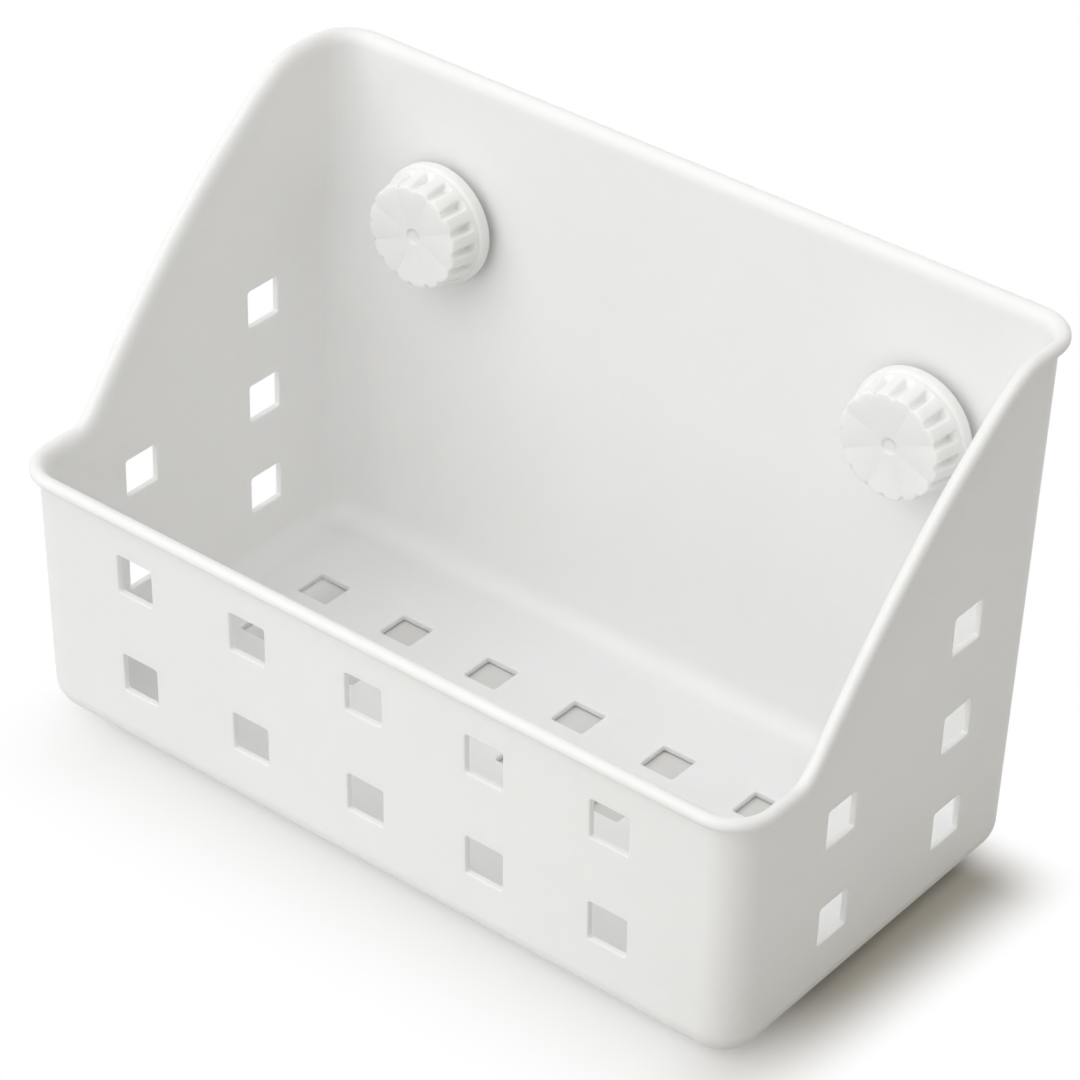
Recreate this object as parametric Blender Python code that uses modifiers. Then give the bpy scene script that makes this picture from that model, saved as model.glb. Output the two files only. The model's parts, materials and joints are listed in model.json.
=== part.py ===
"""Wall basket with two screw-on suction fixings, at real size in metres, +Z up and -Y to the front.

The basket is one moulding. Each fixing has a fluted knob, a pressure dome, a soft suction cup and a
threaded stud, all turned about one axis that runs through the back wall.
"""

import math

import bmesh
import bpy
from mathutils import Matrix, Vector

# Basket shell. Y is measured from the foot of the front wall until the whole part is centred.
HALF_WIDTH = 0.1162
DEPTH = 0.1223
FRONT_HEIGHT = 0.0785
BACK_HEIGHT = 0.1569
WALL = 0.002
FLOOR = 0.002
SIDE_DRAFT = math.radians(0.37)
FRONT_DRAFT = math.radians(1.88)
BACK_DRAFT = math.radians(1.1)
CORNER_RADIUS = 0.0108
EDGE_RADIUS = 0.009
CORNER_STEPS = 8
EDGE_STEPS = 6
SWEEP_STEPS = 32

# Rolled rim: a round lip that stands outside the wall, and the flare that leads into it.
LIP_RADIUS = 0.0019
LIP_OFFSET = 0.0007
FLARE_HEIGHT = 0.0039
FLARE_STEPS = 5
LIP_STEPS = 8
UNDERCUT = 0.0004

# Sweep of the side walls' top edge: it leaves the front level, climbs steeply, then eases over.
SWEEP_START = 0.0182
KNEE_RUN = 0.0141
KNEE_RISE = 0.0138
KNEE_SLOPE = 1.252
SHOULDER_RUN = 0.0266
SHOULDER_DROP = 0.0154
SHOULDER_SLOPE = 0.778
SWEEP_MARGIN = 0.0156

# Square drain holes
HOLE_WIDTH = 0.0119
FRONT_HOLE_HEIGHT = 0.0119
SIDE_HOLE_HEIGHT = 0.0115
HOLE_CORNER = 0.0007
FRONT_FIRST_ROW = 0.0259
FRONT_COLUMNS = 5
FRONT_PITCH = 0.03887
FRONT_ROWS = 2
FRONT_ROW_PITCH = 0.0322
SIDE_FIRST_ROW = 0.0253
SIDE_FRONT_COLUMN = 0.0399
SIDE_COLUMN_PITCH = 0.0493
SIDE_ROWS = (2, 3)
SIDE_ROW_PITCH = 0.0303
FLOOR_HOLE_WIDTH = 0.0107
FLOOR_HOLE_DEPTH = 0.0107
FLOOR_COLUMNS = 7
FLOOR_PITCH = 0.0305
FLOOR_ROWS = 3
FLOOR_ROW_PITCH = 0.0238
FLOOR_BACK_ROW = 0.0348

# Fixings, each set in from the side walls and down from the top of the back wall
FIXING_INSET = 0.0386
FIXING_DROP = 0.0443
BOSS_RADIUS = 0.0135
BOSS_HEIGHT = 0.0024
GAP = 0.0003
STUD_RADIUS = 0.0038
STUD_CLEARANCE = 0.0003
STUD_REACH = 0.0085
STUD_TIP = 0.0006
FOOT_RADIUS = 0.008
FOOT_THICKNESS = 0.0015
KNOB_TURN_STEPS = 48
TURN_STEPS = 36

# Knob, measured forward from the back wall's inner face
KNOB_LENGTH = 0.0152
KNOB_BASE_RADIUS = 0.0172
KNOB_SKIRT_RADIUS = 0.0167
KNOB_FACE_RADIUS = 0.0149
KNOB_SKIRT_LENGTH = 0.0078
KNOB_EDGE = 0.0006
KNOB_FACE_THICKNESS = 0.0024
KNOB_DISH = 0.0008
KNOB_NUT_RADIUS = 0.0066
KNOB_HOLLOW_RADIUS = 0.0126
KNOB_BORE_END = 0.0028
EYE_RADIUS = 0.0026
EYE_DEPTH = 0.0004
FLUTES = 16
FLUTE_DEPTH_RADIUS = 0.0141
FLUTE_RADIUS = 0.0026
FLUTE_STEPS = 12
PLEATS = 8
PLEAT_DEPTH = 0.0006
PLEAT_TURN = math.radians(24)

# Pressure dome
DOME_WALL = 0.0016
DOME_HUB_RADIUS = 0.009
DOME_RADIUS = 0.0222
DOME_STEPS = 4

# Suction cup
CUP_RADIUS = 0.0245
CUP_CROWN_RADIUS = 0.011
CUP_CROWN_THICKNESS = 0.0015
CUP_SKIN = 0.0014
CUP_HOLLOW = 0.0035
CUP_FLANGE_RADIUS = 0.020
CUP_FLANGE_THICKNESS = 0.0011
CUP_SHOULDER = 0.0014
CUP_STEPS = 5
TAB_LENGTH = 0.007
TAB_WIDTH = 0.009
TAB_LIFT = 0.0002

# Play left between the dome and the cup's crown for the stud's full travel
TIGHTEN_TRAVEL = 0.002
CROWN_CLEARANCE = 0.0002

# One overrun for every cut
OVERRUN = 0.004

# Places that follow from the sizes above. Those of a fixing are along its axis, forward positive.
LIP_CENTRE_FRONT = FRONT_HEIGHT - LIP_RADIUS
LIP_CENTRE_BACK = BACK_HEIGHT - LIP_RADIUS
KNOB_BACK = BOSS_HEIGHT + GAP
DOME_FRONT = -(WALL + GAP)
CROWN_FRONT = DOME_FRONT - DOME_WALL - TIGHTEN_TRAVEL - CROWN_CLEARANCE
FOOT_FRONT = CROWN_FRONT - CUP_CROWN_THICKNESS - GAP
FOOT_BACK = FOOT_FRONT - FOOT_THICKNESS
CUP_BACK = FOOT_BACK - GAP - CUP_SKIN
CUP_RIM = CUP_BACK - CUP_HOLLOW
FLANGE_FRONT = CUP_RIM + CUP_FLANGE_THICKNESS
BORE_RADIUS = STUD_RADIUS + STUD_CLEARANCE
FIXING_X = HALF_WIDTH - FIXING_INSET
FIXING_HEIGHT = BACK_HEIGHT - FIXING_DROP
FIXING_Y = DEPTH + math.tan(BACK_DRAFT) * FIXING_HEIGHT - WALL

# The part is centred between the front lip and the cups' rims.
FRONT_REACH = math.tan(FRONT_DRAFT) * LIP_CENTRE_FRONT + LIP_OFFSET + LIP_RADIUS
BACK_REACH = FIXING_Y - CUP_RIM * math.cos(BACK_DRAFT) + CUP_RADIUS * math.sin(BACK_DRAFT)
CENTRE_Y = (BACK_REACH - FRONT_REACH) / 2


def clear_scene():
    """Removes every object of the file, and starts the two collections."""
    for obj in list(bpy.data.objects):
        bpy.data.objects.remove(obj)
    for name in ("cosmetic_organizer_rack", "cutters"):
        bpy.context.scene.collection.children.link(bpy.data.collections.new(name))


def material(name, colour, roughness):
    """A plain Principled material."""
    made = bpy.data.materials.new(name)
    made.use_nodes = True
    shader = made.node_tree.nodes["Principled BSDF"]
    shader.inputs["Base Color"].default_value = (*colour, 1)
    shader.inputs["Roughness"].default_value = roughness
    shader.inputs["Metallic"].default_value = 0
    return made


def add_object(name, mesh, finish=None, cutter=False):
    """Links a mesh as a part, or as a hidden cutter."""
    obj = bpy.data.objects.new(name, mesh)
    bpy.data.collections["cutters" if cutter else "cosmetic_organizer_rack"].objects.link(obj)
    if finish:
        mesh.materials.append(finish)
    if cutter:
        obj.hide_render = True
        obj.display_type = "WIRE"
    return obj


def mesh_of(bm, name):
    """Ends a bmesh and returns its mesh, with all faces outward."""
    bmesh.ops.recalc_face_normals(bm, faces=bm.faces[:])
    mesh = bpy.data.meshes.new(name)
    bm.to_mesh(mesh)
    bm.free()
    return mesh


def baked(obj):
    """The object's evaluated mesh, as a mesh of its own."""
    graph = bpy.context.evaluated_depsgraph_get()
    return bpy.data.meshes.new_from_object(obj.evaluated_get(graph))


def combine(obj, other, operation):
    """Adds an exact Boolean with another object."""
    modifier = obj.modifiers.new(operation.lower(), "BOOLEAN")
    modifier.operation = operation
    modifier.solver = "EXACT"
    modifier.object = other


def smooth(mesh, angle):
    """Shades a mesh smooth, but for edges sharper than the angle."""
    mesh.shade_smooth()
    mesh.set_sharp_from_angle(angle=math.radians(angle))


def arc(centre, radii, start, end, steps):
    """Points along an elliptical arc from one angle to another, in degrees."""
    angles = [math.radians(start + (end - start) * i / steps) for i in range(steps + 1)]
    return [
        (centre[0] + radii[0] * math.cos(a), centre[1] + radii[1] * math.sin(a)) for a in angles
    ]


def turned_mesh(name, profile, steps):
    """The mesh of a profile of (radius, z) points turned once about Z."""
    bm = bmesh.new()
    points = [bm.verts.new((radius, 0, z)) for radius, z in profile]
    for a, b in zip(points, points[1:]):
        bm.edges.new((a, b))
    if profile[0][0] > 0:
        bm.edges.new((points[-1], points[0]))
    mesh = bpy.data.meshes.new(name + "_profile")
    bm.to_mesh(mesh)
    bm.free()
    guide = add_object(name + "_profile", mesh, cutter=True)
    screw = guide.modifiers.new("turn", "SCREW")
    screw.steps = steps
    screw.render_steps = steps
    screw.use_merge_vertices = True
    screw.merge_threshold = 1e-5
    bpy.context.view_layer.update()
    solid = baked(guide)
    bpy.data.objects.remove(guide)
    bm = bmesh.new()
    bm.from_mesh(solid)
    bpy.data.meshes.remove(solid)
    return mesh_of(bm, name)


# Basket


def plan_columns():
    """The basket's outline as columns: the corner at each end, the angle there, and the share."""
    columns = []
    for corner in range(4):
        start = 180 + 90 * corner
        for step in range(CORNER_STEPS + 1):
            angle = math.radians(start + 90 * step / CORNER_STEPS)
            columns.append((corner, corner, angle, 0.0))
        if corner in (1, 3):
            end_angle = math.radians(start + 90)
            following = (corner + 1) % 4
            for step in range(1, SWEEP_STEPS):
                columns.append((corner, following, end_angle, step / SWEEP_STEPS))
    return columns


def corner_centre(corner, z):
    """Centre of a plan corner's arc at a height: front left, front right, back right, back left."""
    x = HALF_WIDTH + math.tan(SIDE_DRAFT) * z - CORNER_RADIUS
    front = CORNER_RADIUS - math.tan(FRONT_DRAFT) * z
    back = DEPTH + math.tan(BACK_DRAFT) * z - CORNER_RADIUS
    return Vector((x if corner in (1, 2) else -x, back if corner in (2, 3) else front))


def plan_point(column, offset, z):
    """The outline's point on a column at a height, moved outward by an offset."""
    first, second, angle, share = column
    centre = corner_centre(first, z).lerp(corner_centre(second, z), share)
    return centre + (CORNER_RADIUS + offset) * Vector((math.cos(angle), math.sin(angle)))


def sweep(y):
    """Height and slope of the lip's centre line over the side walls, as cubic spans."""
    knee_y = SWEEP_START + KNEE_RUN
    end_y = DEPTH - SWEEP_MARGIN
    shoulder_y = end_y - SHOULDER_RUN
    knots = (
        (SWEEP_START, LIP_CENTRE_FRONT, 0.0),
        (knee_y, LIP_CENTRE_FRONT + KNEE_RISE, KNEE_SLOPE),
        (shoulder_y, LIP_CENTRE_BACK - SHOULDER_DROP, SHOULDER_SLOPE),
        (end_y, LIP_CENTRE_BACK, 0.0),
    )
    if y <= SWEEP_START:
        return LIP_CENTRE_FRONT, 0.0
    if y >= end_y:
        return LIP_CENTRE_BACK, 0.0
    for (y0, z0, m0), (y1, z1, m1) in zip(knots, knots[1:]):
        if y <= y1:
            break
    run = y1 - y0
    t = (y - y0) / run
    height = (
        (2 * t**3 - 3 * t**2 + 1) * z0
        + (t**3 - 2 * t**2 + t) * run * m0
        + (3 * t**2 - 2 * t**3) * z1
        + (t**3 - t**2) * run * m1
    )
    slope = (
        (6 * t**2 - 6 * t) * z0 / run
        + (3 * t**2 - 4 * t + 1) * m0
        + (6 * t - 6 * t**2) * z1 / run
        + (3 * t**2 - 2 * t) * m1
    )
    return height, slope


def rim_point(column, outward, above):
    """A point of the rim's section, set square to the sweep, from the lip's centre line."""
    z = LIP_CENTRE_FRONT
    for _ in range(4):
        z, slope = sweep(plan_point(column, 0, z).y)
    turn = math.atan(slope)
    height = z + above * math.cos(turn)
    point = plan_point(column, outward, z)
    drift = plan_point(column, outward, height) - point
    return Vector((point.x + drift.x, point.y + drift.y - above * math.sin(turn), height))


def wall_point(column, offset, z):
    """A point of the shell at a height, moved outward from the outer face by an offset."""
    flat = plan_point(column, offset, z)
    return Vector((flat.x, flat.y, z))


def basket_rings():
    """The shell's section from the inner floor, over the rim, to the outer floor."""
    inner_radius = EDGE_RADIUS - WALL
    rings = []
    for inset, z in arc((0, FLOOR + inner_radius), (inner_radius,) * 2, -90, 0, EDGE_STEPS):
        rings.append(lambda c, o=inset - inner_radius - WALL, z=z: wall_point(c, o, z))
    flare_start = LIP_RADIUS - FLARE_HEIGHT
    flare_reach = WALL + LIP_OFFSET
    section = arc(
        (LIP_OFFSET, flare_start), (flare_reach, FLARE_HEIGHT), 180, 90, FLARE_STEPS
    )
    section += arc((LIP_OFFSET, 0), (LIP_RADIUS,) * 2, 90, -90, LIP_STEPS)[1:]
    section.append((0, -LIP_RADIUS - UNDERCUT))
    for outward, above in section:
        rings.append(lambda c, o=outward, v=above: rim_point(c, o, v))
    for inset, z in arc((0, EDGE_RADIUS), (EDGE_RADIUS,) * 2, 0, -90, EDGE_STEPS):
        rings.append(lambda c, o=inset - EDGE_RADIUS, z=z: wall_point(c, o, z))
    return rings


def basket_shell_mesh():
    """The shell without holes: a grid laid over the section and the outline, closed by two floors."""
    columns = plan_columns()
    columns.append(columns[0])
    rings = basket_rings()
    bm = bmesh.new()
    bmesh.ops.create_grid(bm, x_segments=len(columns) - 1, y_segments=len(rings) - 1, size=1)
    for vert in bm.verts:
        i = round((vert.co.x + 1) / 2 * (len(columns) - 1))
        j = round((vert.co.y + 1) / 2 * (len(rings) - 1))
        vert.co = rings[j](columns[i])
    bmesh.ops.remove_doubles(bm, verts=bm.verts[:], dist=1e-7)
    bmesh.ops.holes_fill(bm, edges=[e for e in bm.edges if e.is_boundary], sides=0)
    return mesh_of(bm, "basket")


def add_hole(bm, centre, size, along):
    """Adds one square hole's cutter: a box with its four long edges rounded."""
    made = bmesh.ops.create_cube(bm, size=1, matrix=Matrix.Translation(centre))
    for vert in made["verts"]:
        offset = vert.co - centre
        vert.co = centre + Vector(o * s for o, s in zip(offset, size))
    edges = {e for v in made["verts"] for e in v.link_edges}
    long_edges = [
        e for e in edges if abs((e.verts[0].co - e.verts[1].co).normalized()[along]) > 0.9
    ]
    bmesh.ops.bevel(
        bm,
        geom=long_edges,
        offset=HOLE_CORNER,
        offset_type="OFFSET",
        segments=2,
        profile=0.5,
        affect="EDGES",
    )


def hole_cutter():
    """Every square hole of the basket as one cutter."""
    bm = bmesh.new()
    through = 2 * (WALL + OVERRUN)
    for row in range(FRONT_ROWS):
        z = FRONT_FIRST_ROW + row * FRONT_ROW_PITCH
        y = WALL / 2 - math.tan(FRONT_DRAFT) * z
        for column in range(FRONT_COLUMNS):
            x = (column - (FRONT_COLUMNS - 1) / 2) * FRONT_PITCH
            add_hole(bm, Vector((x, y, z)), (HOLE_WIDTH, through, FRONT_HOLE_HEIGHT), 1)
    for side in (-1, 1):
        for column, rows in enumerate(SIDE_ROWS):
            y = SIDE_FRONT_COLUMN + column * SIDE_COLUMN_PITCH
            for row in range(rows):
                z = SIDE_FIRST_ROW + row * SIDE_ROW_PITCH
                x = HALF_WIDTH + math.tan(SIDE_DRAFT) * z - WALL / 2
                size = (through, HOLE_WIDTH, SIDE_HOLE_HEIGHT)
                add_hole(bm, Vector((side * x, y, z)), size, 0)
    for row in range(FLOOR_ROWS):
        y = DEPTH - FLOOR_BACK_ROW - row * FLOOR_ROW_PITCH
        for column in range(FLOOR_COLUMNS):
            x = (column - (FLOOR_COLUMNS - 1) / 2) * FLOOR_PITCH
            size = (FLOOR_HOLE_WIDTH, FLOOR_HOLE_DEPTH, FLOOR + 2 * OVERRUN)
            add_hole(bm, Vector((x, y, FLOOR / 2)), size, 2)
    return add_object("hole_cutter", mesh_of(bm, "hole_cutter"), cutter=True)


def fixing_frame(side):
    """A fixing's frame: its origin on the back wall's inner face, Z square to the wall, forward."""
    place = Matrix.Translation((side * FIXING_X, FIXING_Y, FIXING_HEIGHT))
    return place @ Matrix.Rotation(math.radians(90) - BACK_DRAFT, 4, "X")


def fixing_cylinders(name, radius, back, front, steps):
    """A cylinder on each fixing's axis, from one place along it to another."""
    bm = bmesh.new()
    for side in (-1, 1):
        bmesh.ops.create_cone(
            bm,
            cap_ends=True,
            segments=steps,
            radius1=radius,
            radius2=radius,
            depth=front - back,
            matrix=fixing_frame(side) @ Matrix.Translation((0, 0, (back + front) / 2)),
        )
    return add_object(name, mesh_of(bm, name), cutter=True)


def build_basket(finish):
    """The moulded basket: the shell and its two bosses, with every hole cut, centred."""
    basket = add_object("basket", basket_shell_mesh(), finish)
    bosses = fixing_cylinders("bosses", BOSS_RADIUS, -WALL / 2, BOSS_HEIGHT, TURN_STEPS)
    bores = fixing_cylinders("bores", BORE_RADIUS, -OVERRUN, OVERRUN, TURN_STEPS // 2)
    combine(basket, bosses, "UNION")
    combine(basket, hole_cutter(), "DIFFERENCE")
    combine(basket, bores, "DIFFERENCE")
    for obj in [basket] + [modifier.object for modifier in basket.modifiers]:
        obj.data.transform(Matrix.Translation((0, -CENTRE_Y, 0)))
    smooth(basket.data, 30)
    return basket


# Fixings. Each piece is made about its own Z, which points forward from the wall's inner face.


def knob_profile():
    """The knob before its flutes: dished face, tapered grip, skirt, hollow back and blind bore."""
    face = KNOB_LENGTH
    grip_edge = KNOB_FACE_RADIUS - KNOB_EDGE
    hollow_end = face - KNOB_DISH - KNOB_FACE_THICKNESS
    eye = face - KNOB_DISH - EYE_DEPTH
    return [
        (0, eye),
        (EYE_RADIUS, eye),
        (EYE_RADIUS + EYE_DEPTH, face - KNOB_DISH),
        ((EYE_RADIUS + KNOB_FACE_RADIUS) / 2, face - KNOB_DISH / 2),
        (grip_edge, face),
        (KNOB_FACE_RADIUS, face - KNOB_EDGE),
        (KNOB_SKIRT_RADIUS, KNOB_SKIRT_LENGTH),
        (KNOB_BASE_RADIUS, KNOB_BACK + KNOB_EDGE),
        (KNOB_BASE_RADIUS - KNOB_EDGE / 2, KNOB_BACK),
        (KNOB_HOLLOW_RADIUS, KNOB_BACK),
        (KNOB_HOLLOW_RADIUS, hollow_end),
        (KNOB_NUT_RADIUS, hollow_end),
        (KNOB_NUT_RADIUS, KNOB_BACK),
        (BORE_RADIUS, KNOB_BACK),
        (BORE_RADIUS, face - KNOB_BORE_END),
        (0, face - KNOB_BORE_END),
    ]


def pleat(mesh):
    """Folds the knob's face into shallow pleats that deepen toward its edge."""
    inner = EYE_RADIUS + EYE_DEPTH
    outer = KNOB_FACE_RADIUS - KNOB_EDGE
    lowest = KNOB_LENGTH - KNOB_DISH - EYE_DEPTH / 2
    for vert in mesh.vertices:
        radius = math.hypot(vert.co.x, vert.co.y)
        if vert.co.z < lowest or radius < inner:
            continue
        turn = (math.atan2(vert.co.y, vert.co.x) - PLEAT_TURN) * PLEATS / math.tau
        fold = abs(2 * (turn - math.floor(turn)) - 1)
        vert.co.z -= PLEAT_DEPTH * fold * min(1, (radius - inner) / (outer - inner))


def flute_cutter_mesh():
    """The knob's flutes: round-bottomed grooves that run straight back and stop at the skirt."""
    bm = bmesh.new()
    length = KNOB_LENGTH - KNOB_SKIRT_LENGTH + OVERRUN
    for index in range(FLUTES):
        angle = math.tau * index / FLUTES
        reach = FLUTE_DEPTH_RADIUS + FLUTE_RADIUS
        place = Vector((reach * math.cos(angle), reach * math.sin(angle), 0))
        place.z = KNOB_SKIRT_LENGTH + length / 2
        bmesh.ops.create_cone(
            bm,
            cap_ends=True,
            segments=FLUTE_STEPS,
            radius1=FLUTE_RADIUS,
            radius2=FLUTE_RADIUS,
            depth=length,
            matrix=Matrix.Translation(place) @ Matrix.Rotation(angle, 4, "Z"),
        )
    return mesh_of(bm, "flute_cutter")


def knob_mesh():
    """The knob with its pleated face and its flutes cut."""
    body = turned_mesh("knob", knob_profile(), KNOB_TURN_STEPS)
    pleat(body)
    work = add_object("knob_blank", body, cutter=True)
    cutter = add_object("flute_cutter", flute_cutter_mesh(), cutter=True)
    combine(work, cutter, "DIFFERENCE")
    bpy.context.view_layer.update()
    mesh = baked(work)
    bpy.data.objects.remove(work)
    bpy.data.objects.remove(cutter)
    mesh.name = "knob"
    return mesh


def dome_mesh():
    """The pressure dome: a flat hub with a bore, and a deep round dish that ends on the cup's flange."""
    rim = FLANGE_FRONT + GAP
    rise = DOME_FRONT - rim
    reach = DOME_RADIUS - DOME_HUB_RADIUS
    outside = arc((DOME_HUB_RADIUS, rim), (reach, rise), 90, 0, DOME_STEPS)
    inside = arc(
        (DOME_HUB_RADIUS, rim), (reach - DOME_WALL, rise - DOME_WALL), 0, 90, DOME_STEPS
    )
    profile = [(BORE_RADIUS, DOME_FRONT)] + outside + inside
    profile.append((BORE_RADIUS, DOME_FRONT - DOME_WALL))
    return turned_mesh("pressure_dome", profile, TURN_STEPS)


def cup_profile():
    """The suction cup, with the pocket that its stud's foot is moulded into."""
    pocket = FOOT_RADIUS + GAP
    hollow = arc((0, CUP_RIM), (CUP_FLANGE_RADIUS, CUP_HOLLOW), 0, 90, CUP_STEPS)
    profile = [
        (0, FOOT_BACK - GAP),
        (pocket, FOOT_BACK - GAP),
        (pocket, FOOT_FRONT + GAP),
        (BORE_RADIUS, FOOT_FRONT + GAP),
        (BORE_RADIUS, CROWN_FRONT),
        (CUP_CROWN_RADIUS - CUP_SHOULDER / 2, CROWN_FRONT),
        (CUP_CROWN_RADIUS, CROWN_FRONT - CUP_SHOULDER / 2),
        (CUP_CROWN_RADIUS, CROWN_FRONT - CUP_SHOULDER),
        (CUP_FLANGE_RADIUS, FLANGE_FRONT),
        (CUP_RADIUS, FLANGE_FRONT),
        (CUP_RADIUS, CUP_RIM),
    ]
    return profile + hollow[:-1] + [(0, CUP_BACK)]


def tab_mesh():
    """The cup's release tab, at its foot, clear of the surface that the cup grips."""
    bm = bmesh.new()
    thickness = CUP_FLANGE_THICKNESS - 2 * TAB_LIFT
    height = CUP_RIM + CUP_FLANGE_THICKNESS / 2
    inner = (CUP_FLANGE_RADIUS + CUP_RADIUS) / 2
    tip = CUP_RADIUS + TAB_LENGTH
    made = bmesh.ops.create_cube(bm, size=1)
    for vert in made["verts"]:
        vert.co.x *= TAB_WIDTH
        vert.co.y = -inner - (tip - inner) * (vert.co.y + 1 / 2)
        vert.co.z = height + thickness * vert.co.z
    ends = [
        e
        for e in bm.edges
        if all(v.co.y < -CUP_RADIUS for v in e.verts)
        and abs(e.verts[0].co.z - e.verts[1].co.z) > thickness / 2
    ]
    bmesh.ops.bevel(
        bm,
        geom=ends,
        offset=TAB_WIDTH * 0.45,
        offset_type="OFFSET",
        segments=6,
        profile=0.5,
        affect="EDGES",
    )
    return mesh_of(bm, "release_tab")


def cup_mesh():
    """The cup with its tab joined on."""
    work = add_object("cup_blank", turned_mesh("cup", cup_profile(), TURN_STEPS), cutter=True)
    tab = add_object("release_tab", tab_mesh(), cutter=True)
    combine(work, tab, "UNION")
    bpy.context.view_layer.update()
    mesh = baked(work)
    bpy.data.objects.remove(work)
    bpy.data.objects.remove(tab)
    mesh.name = "suction_cup"
    return mesh


def stud_mesh():
    """The stud: a flat foot, and a shaft that reaches through the wall into the knob."""
    profile = [
        (0, STUD_REACH),
        (STUD_RADIUS - STUD_TIP, STUD_REACH),
        (STUD_RADIUS, STUD_REACH - STUD_TIP),
        (STUD_RADIUS, FOOT_FRONT),
        (FOOT_RADIUS, FOOT_FRONT),
        (FOOT_RADIUS, FOOT_BACK),
        (0, FOOT_BACK),
    ]
    return turned_mesh("threaded_stud", profile, TURN_STEPS)


def place_fixings(meshes):
    """Puts one of each fixing piece on each side, with its origin on the fixing's axis."""
    for name, mesh in meshes.items():
        smooth(mesh, 30)
        for side, sign in (("left", -1), ("right", 1)):
            obj = add_object(f"{name}_{side}", mesh)
            obj.location = (sign * FIXING_X, FIXING_Y - CENTRE_Y, FIXING_HEIGHT)
            obj.rotation_euler = (math.radians(90) - BACK_DRAFT, 0, 0)


def main():
    """Builds the basket and its two fixings."""
    clear_scene()
    white = material("white_polypropylene", (0.83, 0.83, 0.82), 0.38)
    knob_white = material("white_abs", (0.82, 0.82, 0.81), 0.32)
    dome_white = material("dome_polypropylene", (0.80, 0.80, 0.79), 0.40)
    clear = material("clear_pvc", (0.78, 0.82, 0.84), 0.12)
    stud_white = material("stud_nylon", (0.80, 0.80, 0.78), 0.35)
    build_basket(white)
    meshes = {
        "knob": knob_mesh(),
        "pressure_dome": dome_mesh(),
        "suction_cup": cup_mesh(),
        "threaded_stud": stud_mesh(),
    }
    for mesh, finish in zip(meshes.values(), (knob_white, dome_white, clear, stud_white)):
        mesh.materials.clear()
        mesh.materials.append(finish)
    place_fixings(meshes)


main()
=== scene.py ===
"""White wall basket with two screw-on suction fixings, dressed for a studio picture.

Sizes are in metres, +Z up and -Y to the front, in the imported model's own frame.
"""

import json
import logging
import math
from collections.abc import Callable, Iterable
from dataclasses import dataclass
from enum import Enum

import bmesh
import bpy
from mathutils import Matrix, Vector


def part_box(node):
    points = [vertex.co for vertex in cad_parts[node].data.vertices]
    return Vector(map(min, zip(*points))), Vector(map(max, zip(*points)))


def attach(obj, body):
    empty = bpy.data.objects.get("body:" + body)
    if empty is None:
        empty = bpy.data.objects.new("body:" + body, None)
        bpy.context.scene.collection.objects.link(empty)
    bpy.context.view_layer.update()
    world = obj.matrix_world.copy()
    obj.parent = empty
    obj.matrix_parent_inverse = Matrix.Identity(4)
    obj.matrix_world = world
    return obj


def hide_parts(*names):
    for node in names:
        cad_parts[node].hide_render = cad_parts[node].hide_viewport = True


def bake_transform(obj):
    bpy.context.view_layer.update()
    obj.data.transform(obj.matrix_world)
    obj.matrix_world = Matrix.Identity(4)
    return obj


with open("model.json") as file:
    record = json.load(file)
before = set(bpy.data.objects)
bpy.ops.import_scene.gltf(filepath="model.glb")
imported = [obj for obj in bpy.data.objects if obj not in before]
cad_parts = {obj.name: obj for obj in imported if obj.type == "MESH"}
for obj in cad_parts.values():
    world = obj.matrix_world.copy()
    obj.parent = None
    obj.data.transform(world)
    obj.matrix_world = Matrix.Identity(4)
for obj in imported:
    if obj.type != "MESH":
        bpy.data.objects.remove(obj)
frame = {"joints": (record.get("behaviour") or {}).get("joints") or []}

LOG = logging.getLogger("wall_basket")
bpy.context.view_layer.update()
WELD = 1e-7
BOOLEAN_WELD = 2e-6
FLAT_ANGLE = math.radians(0.05)
FLAT_FACE_WEIGHT = 80

Colour = tuple[float, float, float]
Profile = list[tuple[float, float]]


class Side(Enum):
    """The two fixings, by the side of the basket that they are on, seen from the front."""

    LEFT = "left"
    RIGHT = "right"


class Grain(Enum):
    """How finely a mould's surface was textured: cell size and height of the grain."""

    SATIN = (0.00042, 0.0000045)
    FINE = (0.00028, 0.0000025)
    POLISHED = (0.0009, 0.0000012)


# Shaders


class Value:
    """One output of a shader node, with Python's arithmetic on it."""

    def __init__(self, shader: "Shader", socket: bpy.types.NodeSocket) -> None:
        """Keeps an output socket, and the shader that it belongs to."""
        self.shader = shader
        self.socket = socket

    def _math(self, operation: str, *values: "Value | float") -> "Value":
        """Adds one Math node, with its inputs in order."""
        return self.shader.node(
            "ShaderNodeMath", {"operation": operation}, dict(enumerate(values))
        )

    def __add__(self, other: "Value | float") -> "Value":
        """This value plus another."""
        return self._math("ADD", self, other)

    def __radd__(self, other: float) -> "Value":
        """A number plus this value."""
        return self._math("ADD", other, self)

    def __sub__(self, other: "Value | float") -> "Value":
        """This value less another."""
        return self._math("SUBTRACT", self, other)

    def __rsub__(self, other: float) -> "Value":
        """A number less this value."""
        return self._math("SUBTRACT", other, self)

    def __mul__(self, other: "Value | float") -> "Value":
        """This value times another."""
        return self._math("MULTIPLY", self, other)

    def __rmul__(self, other: float) -> "Value":
        """A number times this value."""
        return self._math("MULTIPLY", other, self)

    def either(self, other: "Value | float") -> "Value":
        """The larger of this value and another."""
        return self._math("MAXIMUM", self, other)

    def eased(self, low: float, high: float) -> "Value":
        """Maps a range smoothly to 0 and 1.

        Args:
            low: Where the result is 0.
            high: Where the result is 1.

        Returns:
            The eased value.
        """
        return self.shader.node(
            "ShaderNodeMapRange",
            {"interpolation_type": "SMOOTHSTEP"},
            {"Value": self, "From Min": low, "From Max": high},
        )


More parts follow.
